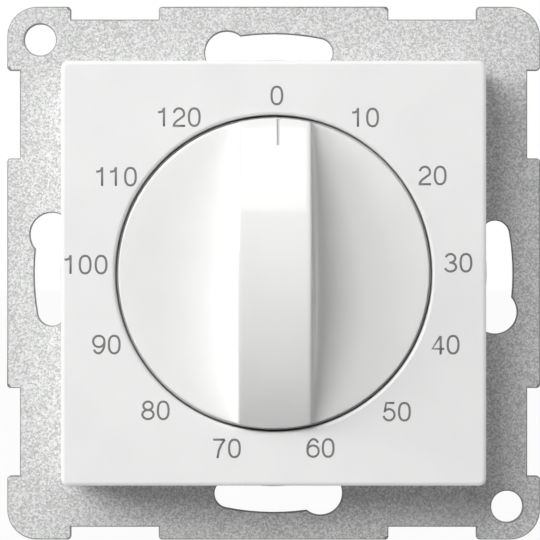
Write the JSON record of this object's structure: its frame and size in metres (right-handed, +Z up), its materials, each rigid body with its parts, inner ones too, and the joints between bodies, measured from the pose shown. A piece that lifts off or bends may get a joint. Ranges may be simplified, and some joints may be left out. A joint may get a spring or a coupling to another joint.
{
  "type": "timer light switch",
  "caption": "Flush-mounted clockwork timer light switch: square support ring and cover plate, rotary knob with grip bar, geared movement and switch contact in a round housing.",
  "frame": {"origin": "on the knob's axis, in the plane of the support ring's back face, which lies on the wall", "axes": "+Z up, -Y out of the wall through the knob, +Y into the wall box, +X to the right seen from the front"},
  "size_m": [0.071, 0.0469, 0.071],
  "materials": {
    "white_cover": "gloss",
    "white_knob": "gloss",
    "zinc_steel": "zinc-plated, spangled",
    "housing_plastic": "matte",
    "carrier_plastic": "matte",
    "cam_plastic": "matte",
    "brass": "satin",
    "steel": "turned",
    "spring_steel": "blued",
    "blade_bronze": "rolled bronze",
    "contact_silver": "satin"
  },
  "bodies": {
    "support": {"cover_plate": "white_cover", "support_ring": "zinc_steel", "front_housing": "housing_plastic", "rear_housing": "housing_plastic", "housing_screws": "steel", "spindle_bush": "brass", "front_plate": "brass", "back_plate": "brass", "pillars": "steel", "front_screws": "steel", "back_screws": "steel", "spring_post": "steel", "mainspring": "spring_steel", "contact_blade": "blade_bronze", "moving_contact": "contact_silver", "blade_rivet": "brass", "live_bar": "brass", "load_bar": "brass", "fixed_contact": "contact_silver", "live_terminal": "brass", "load_terminal": "brass", "terminal_screws": "steel", "contact_carrier": "carrier_plastic"},
    "knob": {"knob": "white_knob", "knob_clip": "spring_steel", "spindle": "steel", "clutch_spring": "spring_steel", "clutch_ring": "steel", "cam_disc": "cam_plastic", "cam_ring": "steel"},
    "great": {"great_wheel": "brass"},
    "second": {"second_arbor": "steel", "second_wheel": "brass"},
    "third": {"third_arbor": "steel", "third_wheel": "brass"},
    "fourth": {"fourth_arbor": "steel", "fourth_wheel": "brass"},
    "escape": {"escape_arbor": "steel", "escape_wheel": "brass"},
    "anchor": {"anchor_arbor": "steel", "anchor_lever": "steel", "pallet_pins": "steel", "anchor_weight": "brass"}
  },
  "joints": [
    {"name": "knob_turn", "type": "hinge", "parent": "support", "child": "knob", "pos_m": [0, 0, 0], "axis": [0, 1, 0], "range_deg": [0, 328], "deforming": ["mainspring", "contact_blade", "moving_contact"]},
    {"name": "escape_turn", "type": "hinge", "parent": "support", "child": "escape", "pos_m": [0.01066, 0.0075, 0.01319], "axis": [0, 1, 0], "continuous": true},
    {"name": "fourth_turn", "type": "hinge", "parent": "support", "child": "fourth", "pos_m": [0.00369, 0.0075, 0.01388], "axis": [0, 1, 0], "continuous": true},
    {"name": "third_turn", "type": "hinge", "parent": "support", "child": "third", "pos_m": [-0.00499, 0.0075, 0.01499], "axis": [0, 1, 0], "continuous": true},
    {"name": "second_turn", "type": "hinge", "parent": "support", "child": "second", "pos_m": [-0.01061, 0.0075, 0.00613], "axis": [0, 1, 0], "continuous": true},
    {"name": "great_turn", "type": "hinge", "parent": "support", "child": "great", "pos_m": [0, 0.0075, 0], "axis": [0, 1, 0], "continuous": true},
    {"name": "anchor_swing", "type": "hinge", "parent": "support", "child": "anchor", "pos_m": [0.01496, 0.0075, 0.00994], "axis": [0, 1, 0], "range_deg": [-7, 7]}
  ],
  "couplings": [
    {"joint": "fourth_turn", "follows": "escape_turn", "ratio": -0.16667},
    {"joint": "third_turn", "follows": "escape_turn", "ratio": 0.027778},
    {"joint": "second_turn", "follows": "escape_turn", "ratio": -0.0046296},
    {"joint": "great_turn", "follows": "escape_turn", "ratio": 0.0007716}
  ]
}
